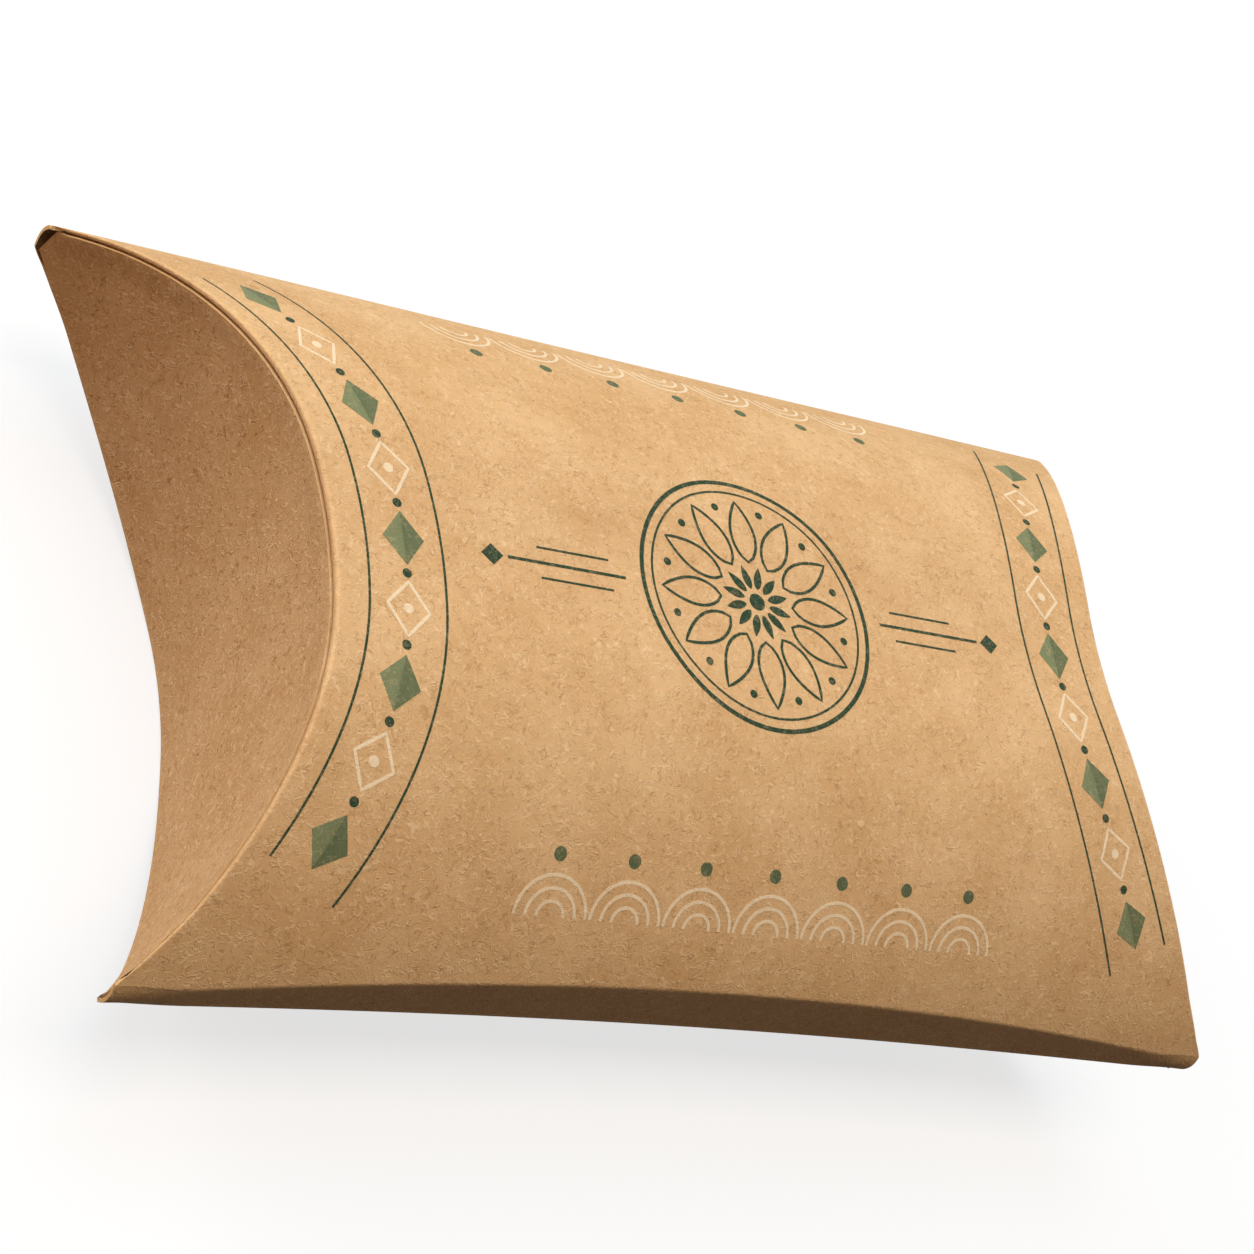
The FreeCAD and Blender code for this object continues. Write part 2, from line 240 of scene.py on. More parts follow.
def panel_skin():
    """Outer face of the front panel with its rolled edges: grids of points, facings and wear."""
    roll_shares = np.linspace(0, 1, ROLL_STEPS + 1)[1:]
    column = np.concatenate([np.full(ROLL_STEPS, -1), eased_columns(ACROSS), np.full(ROLL_STEPS, 1)])
    side_roll = np.concatenate([roll_shares[::-1], np.zeros(ACROSS), roll_shares])
    edge_rows = ROLL_STEPS + len(LIP_SHARES)
    row = np.concatenate([np.full(edge_rows, -1), eased_rows(ALONG), np.full(edge_rows, 1)])
    lip_rows = np.ones(len(LIP_SHARES))
    end_roll = np.concatenate([lip_rows, roll_shares[::-1], np.zeros(ALONG), roll_shares, lip_rows])
    lip = np.concatenate([LIP_SHARES, np.zeros(2 * ROLL_STEPS + ALONG), LIP_SHARES[::-1]])
    row, column = np.meshgrid(row, column, indexing="ij")
    end_roll, side_roll = np.meshgrid(end_roll, side_roll, indexing="ij")
    lip = np.broadcast_to(lip[:, None], row.shape)
    return surface_points(row, column, end_roll, side_roll, lip)


def surface_points(row, column, end_roll, side_roll, lip):
    """Points, facings and wear of the panel for grids of rows, columns, roll shares and lip shares."""
    face_y = spread_across(row, column)
    x_end = end_x(face_y)
    share = end_roll_share(face_y)
    roll = END_ROLL * share
    sign = np.sign(row)
    turned = end_roll > 0
    on_fold = turned | (side_roll > 0)
    x = np.where(turned, sign * x_end, row * (x_end - roll))
    y, z = side_fold(x, face_y, side_roll)
    rolled_x = sign * bend(x_end - roll, x_end, x_end, end_roll)
    rolled_z = bend(z, z, z - roll, end_roll) - lip * LIP * share
    uneven = wave(x, y) * ~on_fold
    points = np.stack([np.where(turned, rolled_x, x), y, np.where(turned, rolled_z, z) + uneven], -1)
    outward = np.stack([x * 0, np.sign(column), x * 0], -1)
    face = turned_facing(panel_facing(face_y), outward, side_roll)
    hollow = end_facing(y)
    hollow[..., 0] *= -sign
    face = turned_facing(face, hollow, end_roll * share)
    to_fold = np.minimum(x_end - np.abs(row * (x_end - roll)), side_y(x) - np.abs(y))
    return points, face, np.where(on_fold, 1, worn(to_fold))


def spread_across(row, column):
    """Places across the panel's face for grids of rows and columns, inside the rolls of the long edges."""
    y = column * HALF_WIDTH
    for _ in range(EDGE_SOLVES):
        x = row * end_x(y)
        edge = side_y(x)
        y = column * (edge - side_roll_size(x) * panel_facing(edge)[..., 2])
    return y


def side_fold(x, y, side_roll):
    """Places across the panel and heights, rolled around the long edges where the roll share is above 0."""
    z = height(y)
    edge = side_y(x)
    fold_z = height(edge)
    start = np.stack([y, z], -1)
    corner = np.stack([edge * np.sign(y), fold_z], -1)
    stop = np.stack([edge * np.sign(y), fold_z - side_roll_size(x)], -1)
    bent = bend(start, corner, stop, side_roll[..., None])
    folded = side_roll > 0
    return np.where(folded, bent[..., 0], y), np.where(folded, bent[..., 1], z)


def turned_facing(facing, target, share):
    """Facings turned by a share of the way towards others."""
    share = share[..., None]
    return unit((1 - share) * facing + share * target)


def build_board(name, points, facing, wear):
    """Closed sheet of board from a grid of outer points. The cut edges use the second material.

    Wear is above 0 where the outer face is rubbed. On the inner face, deep in the corner tips, it is below 0
    and stands for painted shade.
    """
    rows, columns = points.shape[:2]
    count = rows * columns
    inner = points - facing * BOARD
    vertices = np.concatenate([points.reshape(-1, 3), inner.reshape(-1, 3)])
    index = np.arange(count).reshape(rows, columns)
    outer_faces = quads(index)
    loop = np.concatenate([index[0, :-1], index[:-1, -1], index[-1, :0:-1], index[:0:-1, 0]])
    rim = walls(loop, np.roll(loop, -1), count)
    faces = np.concatenate([outer_faces, outer_faces[:, ::-1] + count, rim])
    mesh = bpy.data.meshes.new(name)
    mesh.from_pydata(vertices.tolist(), [], faces.tolist())
    mesh.polygons.foreach_set("use_smooth", [True] * len(faces))
    mesh.polygons.foreach_set("material_index", [0] * (len(faces) - len(rim)) + [1] * len(rim))
    # Painted shade on the inner face, growing towards the corner tips, stored below 0 in the wear attribute
    painted_shade = smooth((np.abs(points[..., 0]) - PAINTED_SHADE_START) / PAINTED_SHADE_RAMP)
    values = mesh.attributes.new("wear", "FLOAT", "POINT")
    values.data.foreach_set("value", np.concatenate([wear.ravel(), -painted_shade.ravel()]).astype(np.float32))
    return linked(name, mesh)


def quads(index):
    """Faces between the points of a grid."""
    return np.stack([index[:-1, :-1], index[1:, :-1], index[1:, 1:], index[:-1, 1:]], -1).reshape(-1, 4)


def walls(here, following, count):
    """Faces along an edge, between the upper points and the lower ones, which come count later."""
    return np.stack([here, following, following + count, here + count], -1)


def linked(name, mesh):
    """Cleans a mesh and puts it in the scene as an object."""
    work = bmesh.new()
    work.from_mesh(mesh)
    bmesh.ops.remove_doubles(work, verts=work.verts, dist=MERGE_REACH)
    bmesh.ops.dissolve_degenerate(work, edges=work.edges, dist=MERGE_REACH)
    bmesh.ops.recalc_face_normals(work, faces=work.faces)
    if work.calc_volume(signed=True) < 0:
        bmesh.ops.reverse_faces(work, faces=work.faces)
    for edge in work.edges:
        edge.smooth = edge.calc_face_angle(0) < SHARP_ANGLE
    work.to_mesh(mesh)
    work.free()
    obj = bpy.data.objects.new(name, mesh)
    bpy.context.scene.collection.objects.link(obj)
    return obj


def placed(points, turn=1):
    """Moves a skin from the middle plane up to its place. A turn of -1 puts it on the back."""
    result = points.copy()
    result[..., 2] = MIDDLE_Z + turn * result[..., 2]
    return result


def finish_board(obj, node, body=None):
    """Gives a board piece its materials and body, and hides the CAD node that it stands for."""
    obj.data.materials.append(KRAFT if body else FLAP_KRAFT)
    obj.data.materials.append(CUT_EDGE)
    if body:
        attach(obj, body)
    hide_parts(node)


def make_panel(name, node, turn):
    """The front panel, or the back panel for a turn of -1."""
    points, facing, wear = panel_skin()
    facing[..., 2] *= turn
    finish_board(build_board(name, placed(points, turn), facing, wear), node, "box")


def make_side(name, node, sign):
    """Narrow strip between the panels along one long edge."""
    row, level = np.meshgrid(eased_rows(ALONG), np.linspace(-1, 1, SIDE_COLUMNS), indexing="ij")
    x = row * HALF_LENGTH
    for _ in range(EDGE_SOLVES):
        y = side_y(x) + tip_bulge(x) * (1 - level ** 2)
        x = row * end_x(np.minimum(y, HALF_WIDTH))
    half = height(side_y(x)) - side_roll_size(x)
    points = np.stack([x, sign * y, half * level], -1)
    lean = 2 * tip_bulge(x) * level / half
    facing = unit(np.stack([x * 0, sign * np.ones_like(lean), lean], -1))
    wear = worn(half * (1 - np.abs(level)))
    finish_board(build_board(name, placed(points), facing, wear), node, "box")


def make_outer_flap(name, node, sign):
    """End flap from the back panel's fold. Its free edge is slightly proud, short of the front lip."""
    y = eased_columns(ACROSS) * FLAP_REACH
    share = end_roll_share(y)
    fold = height(y) - END_ROLL * share
    low = -fold
    into_nose = np.clip((np.abs(y) - (FLAP_REACH - NOSE)) / NOSE, 0, 1)
    nose_share = np.sqrt(np.maximum(1 - into_nose ** 2, NOSE_LEFT_SHARE ** 2))
    top = low + (fold - LIP * share - FREE_GAP - low) * nose_share
    z = low + (top - low) * np.linspace(0, 1, FLAP_ROWS)[:, None]
    grid_y = np.broadcast_to(y, z.shape)
    points = np.stack([sign * end_x(grid_y), grid_y, z], -1)
    facing = end_facing(grid_y)
    facing[..., 0] *= -sign
    proud = PROUD * share * smooth(1 - (top - z) / PROUD_LENGTH)
    points = points + facing * proud[..., None]
    wear = FLAP_WEAR_SHARE * worn(np.minimum(z - low, top - z))
    obj = build_board(name, placed(points), facing, wear)
    finish_board(obj, node)
    bend_from_fold(obj, sign, -1)


def make_inner_flap(name, node, sign):
    """End flap that grows out of the front panel's lip, behind the outer flap."""
    y = eased_columns(ACROSS) * INNER_REACH
    top = height(y) - END_ROLL * INNER_ROLL_SHARE
    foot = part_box(node)[0].z - MIDDLE_Z
    into_corner = np.clip((np.abs(y) - (INNER_REACH - INNER_CORNER)) / INNER_CORNER, 0, 1)
    low = np.minimum(foot + arc_drop(1, into_corner) * INNER_CORNER, top - INNER_LEAST)
    z = top + (low - top) * np.linspace(0, 1, FLAP_ROWS)[:, None]
    grid_y = np.broadcast_to(y, z.shape)
    inset = INNER_STEP + (INNER_INSET - INNER_STEP) * smooth((top - z) / STEP_LENGTH)
    centre_x = HALF_LENGTH + END_RADIUS - END_SAGITTA
    x = centre_x - np.sqrt((END_RADIUS + inset) ** 2 - grid_y ** 2)
    points = np.stack([sign * x, grid_y, z], -1)
    facing = end_facing(grid_y)
    facing[..., 0] *= -sign
    wear = FLAP_WEAR_SHARE * worn(z - low)
    obj = build_board(name, placed(points), facing, wear)
    finish_board(obj, node)
    bend_from_fold(obj, sign, 1)


def bend_from_fold(obj, sign, side):
    """Works out a flap's fold line from its panel towards the corner tip, and bakes the flap's placement into
    its mesh. Side is 1 for the front.
    """
    middle = Vector((sign * float(end_x(0.0)), 0, MIDDLE_Z + side * HALF_DEPTH))
    tip = Vector((sign * HALF_LENGTH, 0, MIDDLE_Z + side * TIP_RISE))
    along = (tip - middle).normalized()
    away = Vector((-along.z, 0, along.x))
    if away.x * sign > 0:
        away = -away
    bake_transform(obj)


# Fibres of the board: noise scale for each millimetre, line thickness, curl, length in millimetres,
# the share of the board that is left bare, and an offset that keeps the layers apart
PALE_LONG = {"scale": 0.8, "thinness": 0.05, "curl": 1.2, "length": 1.3, "bare_share": 0.36, "offset": 3.0}
PALE_SHORT = {"scale": 1.2, "thinness": 0.055, "curl": 0.9, "length": 1.0, "bare_share": 0.36, "offset": 31.0}
DARK_SHORT = {"scale": 0.95, "thinness": 0.05, "curl": 1.2, "length": 1.1, "bare_share": 0.4, "offset": 17.0}
DARK_STRAND = {"scale": 0.3, "thinness": 0.012, "curl": 0.6, "length": 1.7, "bare_share": 0.6, "offset": 47.0}
FIBRE_NOISE = {"detail": 0.4, "roughness": 0.5}
FIBRE_LEVEL = 0.5
PATCH_NOISE = {"detail": 1.0, "roughness": 0.6}
PATCH_OFFSET_RATIO = 3
OFFSET_RATIOS = (1.0, 0.7, 1.3)
FIBRE_FADE = 0.2
STRAND_GAIN = 1.6

# Mottling of the board: three noises, with scales for each millimetre
CLOUD = {"scale": 0.09, "detail": 3.0, "roughness": 0.6}
FLECK = {"scale": 0.9, "detail": 4.0, "roughness": 0.7}
GRAIN = {"scale": 5.5, "detail": 2.0, "roughness": 0.6}
CLOUD_SHARE, FLECK_SHARE, GRAIN_SHARE = 0.55, 0.25, 0.2
PALE_RELIEF, DARK_RELIEF, FLECK_RELIEF, GRAIN_RELIEF = 0.45, 0.3, 0.4, 0.3
MOTTLE_LOW, MOTTLE_HIGH = 0.32, 0.68

# Sockets of a node that mixes colours
MIX_FIRST, MIX_SECOND, MIX_RESULT = 6, 7, 2


def connect(tree, node, socket, value):
    """Links an output to a socket, or sets a constant on it."""
    if isinstance(value, bpy.types.NodeSocket):
        tree.links.new(value, node.inputs[socket])
    else:
        node.inputs[socket].default_value = value


def math_node(tree, operation, first, second=0.0):
    """Result of one operation on two values."""
    node = tree.nodes.new("ShaderNodeMath")
    node.operation = operation
    connect(tree, node, 0, first)
    connect(tree, node, 1, second)
    return node.outputs[0]


def weighted_sum(tree, *terms):
    """Sum of values, each times its weight."""
    total = math_node(tree, "MULTIPLY", *terms[0])
    for value, weight in terms[1:]:
        total = math_node(tree, "ADD", total, math_node(tree, "MULTIPLY", value, weight))
    return total


def span(tree, value, low, high, out_low=0.0, out_high=1.0):
    """Smoothly maps a value from one range to another."""
    node = tree.nodes.new("ShaderNodeMapRange")
    node.interpolation_type = "SMOOTHSTEP"
    connect(tree, node, "Value", value)
    node.inputs["From Min"].default_value = low
    node.inputs["From Max"].default_value = high
    node.inputs["To Min"].default_value = out_low
    node.inputs["To Max"].default_value = out_high
    return node.outputs["Result"]


def shifted(tree, coords, offset):
    """Coordinates moved to another part of a noise."""
    node = tree.nodes.new("ShaderNodeVectorMath")
    node.operation = "ADD"
    tree.links.new(coords, node.inputs[0])
    node.inputs[1].default_value = [offset * ratio for ratio in OFFSET_RATIOS]
    return node.outputs[0]


def noise(tree, coords, scale, detail, roughness, distortion=0.0):
    """Values of a noise texture."""
    node = tree.nodes.new("ShaderNodeTexNoise")
    tree.links.new(coords, node.inputs["Vector"])
    node.inputs["Scale"].default_value = scale
    node.inputs["Detail"].default_value = detail
    node.inputs["Roughness"].default_value = roughness
    node.inputs["Distortion"].default_value = distortion
    return node.outputs[0]


def fibre_layer(tree, coords, scale, thinness, curl, length, bare_share, offset):
    """Short curly lines: one contour of a noise, broken up by a second noise that leaves a bare share."""
    field = noise(tree, shifted(tree, coords, offset), scale, distortion=curl, **FIBRE_NOISE)
    distance = math_node(tree, "ABSOLUTE", math_node(tree, "SUBTRACT", field, FIBRE_LEVEL))
    line = span(tree, distance, 0.0, thinness, 1.0, 0.0)
    patches = noise(tree, shifted(tree, coords, offset * PATCH_OFFSET_RATIO), 1 / length, **PATCH_NOISE)
    return math_node(tree, "MULTIPLY", line, span(tree, patches, bare_share, bare_share + FIBRE_FADE))


def fibre_group():
    """Board structure shared by the bare kraft and the ink: pale fibres, dark fibres, mottling and relief."""
    tree = bpy.data.node_groups.new("board_structure", "ShaderNodeTree")
    for name in ("Pale", "Dark", "Mottle", "Relief"):
        tree.interface.new_socket(name, in_out="OUTPUT", socket_type="NodeSocketFloat")
    output = tree.nodes.new("NodeGroupOutput")
    scaled = tree.nodes.new("ShaderNodeVectorMath")
    scaled.operation = "SCALE"
    tree.links.new(tree.nodes.new("ShaderNodeTexCoord").outputs["Object"], scaled.inputs[0])
    scaled.inputs["Scale"].default_value = 1 / MM
    coords = scaled.outputs[0]
    pale = math_node(tree, "MAXIMUM", fibre_layer(tree, coords, **PALE_LONG),
                     fibre_layer(tree, coords, **PALE_SHORT))
    strands = math_node(tree, "MULTIPLY", fibre_layer(tree, coords, **DARK_STRAND), STRAND_GAIN)
    dark = math_node(tree, "MAXIMUM", fibre_layer(tree, coords, **DARK_SHORT), strands)
    cloud = noise(tree, coords, **CLOUD)
    fleck = noise(tree, coords, **FLECK)
    grain = noise(tree, coords, **GRAIN)
    mottle = weighted_sum(tree, (cloud, CLOUD_SHARE), (fleck, FLECK_SHARE), (grain, GRAIN_SHARE))
    relief = weighted_sum(tree, (pale, PALE_RELIEF), (dark, -DARK_RELIEF), (fleck, FLECK_RELIEF),
                          (grain, GRAIN_RELIEF))
    for name, value in (("Pale", pale), ("Dark", dark), ("Mottle", mottle), ("Relief", relief)):
        tree.links.new(value, output.inputs[name])
    return tree


def color_mix(tree, factor, first, second):
    """Mixes a linked colour with a fixed one."""
    node = tree.nodes.new("ShaderNodeMix")
    node.data_type = "RGBA"
    connect(tree, node, 0, factor)
    tree.links.new(first, node.inputs[MIX_FIRST])
    node.inputs[MIX_SECOND].default_value = (*second, 1)
    return node.outputs[MIX_RESULT]


def tones(tree, value, low, high):
    """A colour that runs from low to high with a value from 0 to 1."""
    node = tree.nodes.new("ShaderNodeValToRGB")
    node.color_ramp.elements[0].color = (*low, 1)
    node.color_ramp.elements[1].color = (*high, 1)
    tree.links.new(value, node.inputs[0])
    return node.outputs[0]


def attribute(tree, name):
    """Values that a mesh keeps at its points."""
    node = tree.nodes.new("ShaderNodeAttribute")
    node.attribute_name = name
    return node.outputs["Fac"]


def new_material(name):
    """A material with the board's structure in it: the material, its tree, shader and structure outputs."""
    material = bpy.data.materials.new(name)
    material.use_nodes = True
    tree = material.node_tree
    group = tree.nodes.new("ShaderNodeGroup")
    group.node_tree = STRUCTURE
    return material, tree, tree.nodes["Principled BSDF"], group.outputs


def mottled(tree, parts, low=0.0, high=1.0):
    """A value that follows the board's mottling from low to high."""
    return span(tree, parts["Mottle"], MOTTLE_LOW, MOTTLE_HIGH, low, high)


def add_fibres(tree, color, parts, pale_share, dark_share):
    """Draws the board's fibres over a colour."""
    color = color_mix(tree, math_node(tree, "MULTIPLY", parts["Pale"], pale_share), color, KRAFT_FIBRE)
    return color_mix(tree, math_node(tree, "MULTIPLY", parts["Dark"], dark_share), color, KRAFT_DARK_FIBRE)


def finish_surface(tree, shader, parts, color, rough_low, rough_high, relief):
    """Colour, roughness and relief of a surface. Relief is the height of its fibres."""
    tree.links.new(color, shader.inputs["Base Color"])
    tree.links.new(mottled(tree, parts, rough_low, rough_high), shader.inputs["Roughness"])
    shader.inputs["Specular IOR Level"].default_value = SPECULAR
    bump = tree.nodes.new("ShaderNodeBump")
    bump.inputs["Strength"].default_value = RELIEF_STRENGTH
    bump.inputs["Distance"].default_value = relief
    tree.links.new(parts["Relief"], bump.inputs["Height"])
    tree.links.new(bump.outputs["Normal"], shader.inputs["Normal"])


def kraft_material(name, pale_share, dark_share):
    """Uncoated brown kraft face, rubbed paler along the folds, with painted shade deep in the corner tips."""
    material, tree, shader, parts = new_material(name)
    color = tones(tree, mottled(tree, parts), KRAFT_LOW, KRAFT_HIGH)
    color = add_fibres(tree, color, parts, pale_share, dark_share)
    # The wear attribute holds rubbing above 0 and painted shade below 0
    wear = attribute(tree, "wear")
    patchy = mottled(tree, parts, RUB_LOW_SHARE, RUB_HIGH_SHARE)
    rubbed = math_node(tree, "MULTIPLY", math_node(tree, "MAXIMUM", wear, 0.0), patchy)
    color = color_mix(tree, rubbed, color, KRAFT_RUBBED)
    # Painted shade: where the wear attribute is below 0, deep in the corner tips, the colour darkens towards
    # a painted shade colour
    color = color_mix(tree, span(tree, wear, 0.0, -1.0, 0.0, PAINTED_SHADE_SHARE), color, KRAFT_PAINTED_SHADE)
    finish_surface(tree, shader, parts, color, **KRAFT_FINISH)
    return material


def edge_material():
    """Raw cut edge of the board: paler and rougher."""
    material, tree, shader, parts = new_material("kraft_cut_edge")
    color = tones(tree, mottled(tree, parts), CUT_LOW, CUT_HIGH)
    finish_surface(tree, shader, parts, color, **CUT_FINISH)
    return material


def adhesive_material():
    """Dried paper glue: cream, satin and slightly streaky."""
    material, tree, shader, parts = new_material("dried_glue")
    color = tones(tree, mottled(tree, parts), GLUE_LOW, GLUE_HIGH)
    finish_surface(tree, shader, parts, color, **GLUE_FINISH)
    return material


def ink_material(name, low, high):
    """Thin matt ink that lets the board's fibres through."""
    material, tree, shader, parts = new_material(name)
    uneven = mottled(tree, parts, -INK_UNEVENNESS, INK_UNEVENNESS)
    color = tones(tree, math_node(tree, "ADD", attribute(tree, "tone"), uneven), low, high)
    color = add_fibres(tree, color, parts, INK_FIBRE_SHARE, INK_FIBRE_SHARE)
    finish_surface(tree, shader, parts, color, **INK_FINISH)
    return material


def srgb(red, green, blue):
    """Linear colour from 8-bit screen values, by the standard screen curve."""
    def linear(value):
        share = value / 255
        return share / 12.92 if share <= 0.04045 else ((share + 0.055) / 1.055) ** 2.4
    return linear(red), linear(green), linear(blue)


# Colours and finish
KRAFT_LOW = srgb(208, 163, 115)
KRAFT_HIGH = srgb(229, 189, 145)
KRAFT_FIBRE = srgb(246, 214, 174)
KRAFT_DARK_FIBRE = srgb(158, 104, 55)
KRAFT_RUBBED = srgb(240, 202, 156)
# Painted shade for the inside of the corner tips, and its greatest share of the colour
KRAFT_PAINTED_SHADE = srgb(62, 37, 18)
PAINTED_SHADE_SHARE = 0.88
CUT_LOW = srgb(214, 172, 122)
CUT_HIGH = srgb(240, 205, 160)
GLUE_LOW = srgb(196, 178, 138)
GLUE_HIGH = srgb(232, 220, 188)
INK_SAGE = srgb(60, 75, 51), srgb(124, 133, 99)
INK_CREAM = srgb(238, 214, 184), srgb(248, 228, 202)
INK_DARK = srgb(26, 52, 36), srgb(40, 70, 48)
INK_UNEVENNESS = 0.15
INK_FIBRE_SHARE = 0.14
BOARD_FIBRE_SHARES = 0.46, 0.4
FLAP_FIBRE_SHARES = 0.75, 0.6
RUB_LOW_SHARE, RUB_HIGH_SHARE = 0.15, 0.5
KRAFT_FINISH = {"rough_low": 0.72, "rough_high": 0.9, "relief": 0.12 * MM}
CUT_FINISH = {"rough_low": 0.85, "rough_high": 0.98, "relief": 0.08 * MM}
GLUE_FINISH = {"rough_low": 0.3, "rough_high": 0.5, "relief": 0.03 * MM}
INK_FINISH = {"rough_low": 0.55, "rough_high": 0.75, "relief": 0.08 * MM}
SPECULAR = 0.15
RELIEF_STRENGTH = 0.8

STRUCTURE = fibre_group()
KRAFT = kraft_material("kraft_board", *BOARD_FIBRE_SHARES)
FLAP_KRAFT = kraft_material("kraft_flap", *FLAP_FIBRE_SHARES)
CUT_EDGE = edge_material()

make_panel("front_board", "front_panel", 1)
make_panel("back_board", "back_panel", -1)
make_side("lower_side_board", "lower_side", -1)
make_side("upper_side_board", "upper_side", 1)
for side, sign in (("left", -1), ("right", 1)):
    make_outer_flap(side + "_outer_board", side + "_outer_flap", sign)
    make_inner_flap(side + "_inner_board", side + "_inner_flap", sign)
for name, material in (("glue_flap", KRAFT), ("glue_line", adhesive_material())):
    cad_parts[name].data.materials.clear()
    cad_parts[name].data.materials.append(material)

# The print: films of ink, with sizes measured over the arched board
INK_GAP = 0.005 * MM
INK_TOP = 0.03 * MM
LINE_TONE = 0.3
DISC_STEPS = 24
DISC_SHARES = np.array([0, 0.5, 1])
BLADE_STEPS = 13
BLADE_COLUMNS = np.array([-1, -0.5, -0.05, 0.05, 0.5, 1])
FACET_TONES = np.array([0.5, 0.5, 0.4, 0.85, 0.95, 1.0])
FINE_LINE = 0.28 * MM
MIDDLE_LINE = 0.38 * MM
BOLD_LINE = 0.55 * MM

# Border of lozenges along each end fold
BAND_CLEAR = 8.5 * MM
BAND_HALF = 4.6 * MM
BAND_SIDE_COUNT = 4
BAND_PITCH = 8.4 * MM
BAND_STEPS = 70
BAND_NEAR = 1 * MM
LOZENGE_LENGTH = 6.4 * MM
LOZENGE_HALF_WIDTH = 2.5 * MM
LOZENGE_DOT = 0.6 * MM
BAND_DOT = 0.55 * MM

# Rows of scallops along the long edges
SCALLOP_COUNT = 7
SCALLOP_PITCH = 9.6 * MM
SCALLOP_RADII = np.array([4.5, 3.1, 1.7]) * MM
SCALLOP_BASE = 39 * MM
SCALLOP_STEPS = 25
SCALLOP_DOT = 0.8 * MM
SCALLOP_DOT_GAP = 2.2 * MM

# Rosette in the middle
ROSETTE_RADIUS = 16 * MM
ROSETTE_INNER_RADIUS = 14.6 * MM
ROSETTE_STEPS = 96
PETAL_COUNT = 12
PETAL_LEAN, PETAL_TAPER = 0.8, 0.85
PETAL_START, PETAL_END, PETAL_HALF_WIDTH = 5.2 * MM, 13.4 * MM, 1.75 * MM
SEED_START, SEED_END, SEED_HALF_WIDTH = 1.7 * MM, 4.8 * MM, 0.55 * MM
ROSETTE_DOT_PLACE, ROSETTE_DOT = 12.5 * MM, 0.5 * MM
ROSETTE_HUB = 1.1 * MM
RULE_START, RULE_END = 18.5 * MM, 34 * MM
SHORT_RULE_START, SHORT_RULE_END, SHORT_RULE_GAP = 20.5 * MM, 30 * MM, 1.9 * MM
RULE_STEPS = 20
DIAMOND_START, DIAMOND_END, DIAMOND_HALF_WIDTH = 34.6 * MM, 37.4 * MM, 1.3 * MM


class Ink:
    """Flat shapes of one ink for the front panel, with x along it and s across it over the arch."""

    def __init__(self):
        self.flat = []
        self.tones = []
        self.tops = []
        self.edges = []

    def grid(self, flat, tone, closed=False, edge_columns=(0, -1)):
        """Adds a grid of flat points. A closed grid joins its last row to its first."""
        rows, columns = flat.shape[:2]
        index = len(self.flat) + np.arange(rows * columns).reshape(rows, columns)
        self.flat.extend(flat.reshape(-1, 2).tolist())
        self.tones.extend(np.broadcast_to(tone, (rows, columns)).reshape(-1).tolist())
        if closed:
            index = np.concatenate([index, index[:1]])
        self.tops.extend(quads(index).tolist())
        lines = [index[:, column] for column in edge_columns]
        if not closed:
            lines += [index[0], index[-1]]
        for line in lines:
            self.edges.extend(zip(line[:-1].tolist(), line[1:].tolist()))

    def ribbon(self, line, width, closed=False):
        """Adds a line of flat points drawn with a width."""
        offset = aside(line, closed) * width / 2
        self.grid(np.stack([line - offset, line, line + offset], 1), LINE_TONE, closed)

    def blade(self, spine, half_width, column_tones):
        """Adds a filled shape around a middle line, with a tone for each of its columns."""
        offset = aside(spine) * half_width[:, None]
        self.grid(spine[:, None] + offset[:, None] * BLADE_COLUMNS[:, None], column_tones)

    def outline(self, spine, half_width, line):
        """Adds the outline of a shape around a middle line."""
        offset = aside(spine) * half_width[:, None]
        self.ribbon(np.concatenate([spine + offset, (spine - offset)[-2:0:-1]]), line, closed=True)

    def disc(self, centre, radius):
        """Adds a filled round dot."""
        turn = np.linspace(0, 2 * math.pi, DISC_STEPS, endpoint=False)
        spokes = np.stack([np.cos(turn), np.sin(turn)], -1) * radius
        self.grid(np.array(centre) + spokes[:, None] * DISC_SHARES[:, None], LINE_TONE, True, (-1,))

    def place(self, name, material):
        """Lays the shapes on the front panel as one piece of thin closed films."""
        flat = np.array(self.flat)
        count = len(flat)
        edges = np.array(self.edges)
        tops = np.array(self.tops)
        sides = walls(edges[:, 0], edges[:, 1], count)
        faces = np.concatenate([tops, tops[:, ::-1] + count, sides])
        vertices = np.concatenate([on_front(flat, INK_TOP), on_front(flat, INK_GAP)])
        mesh = bpy.data.meshes.new(name)
        mesh.from_pydata(vertices.tolist(), [], faces.tolist())
        tone = mesh.attributes.new("tone", "FLOAT", "POINT")
        tone.data.foreach_set("value", np.tile(self.tones, 2).astype(np.float32))
        mesh.polygons.foreach_set("use_smooth", [True] * (2 * len(tops)) + [False] * len(sides))
        obj = linked(name, mesh)
        mesh.materials.append(material)
        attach(obj, "box")


def aside(line, closed=False):
    """Unit vectors square to a line of flat points."""
    along = np.roll(line, -1, 0) - np.roll(line, 1, 0) if closed else np.gradient(line, axis=0)
    return unit(np.stack([-along[:, 1], along[:, 0]], -1))


def across_to_y(s):
    """Place across the box for a length measured over the arched board from the middle."""
    bent = np.maximum(np.abs(s) - CROWN, 0) / ARCH_RADIUS
    return np.sign(s) * (np.minimum(np.abs(s), CROWN) + ARCH_RADIUS * np.sin(bent))


def on_front(flat, lift):
    """Points of the print, lifted off the front panel's face."""
    x = flat[:, 0]
    y = across_to_y(flat[:, 1])
    points = np.stack([x, y, MIDDLE_Z + height(y) + wave(x, y)], -1)
    return points + panel_facing(y) * lift


def lozenge_widths(half_width):
    """Half-widths of a lozenge along its middle line."""
    return half_width * (1 - np.abs(np.linspace(-1, 1, BLADE_STEPS)))


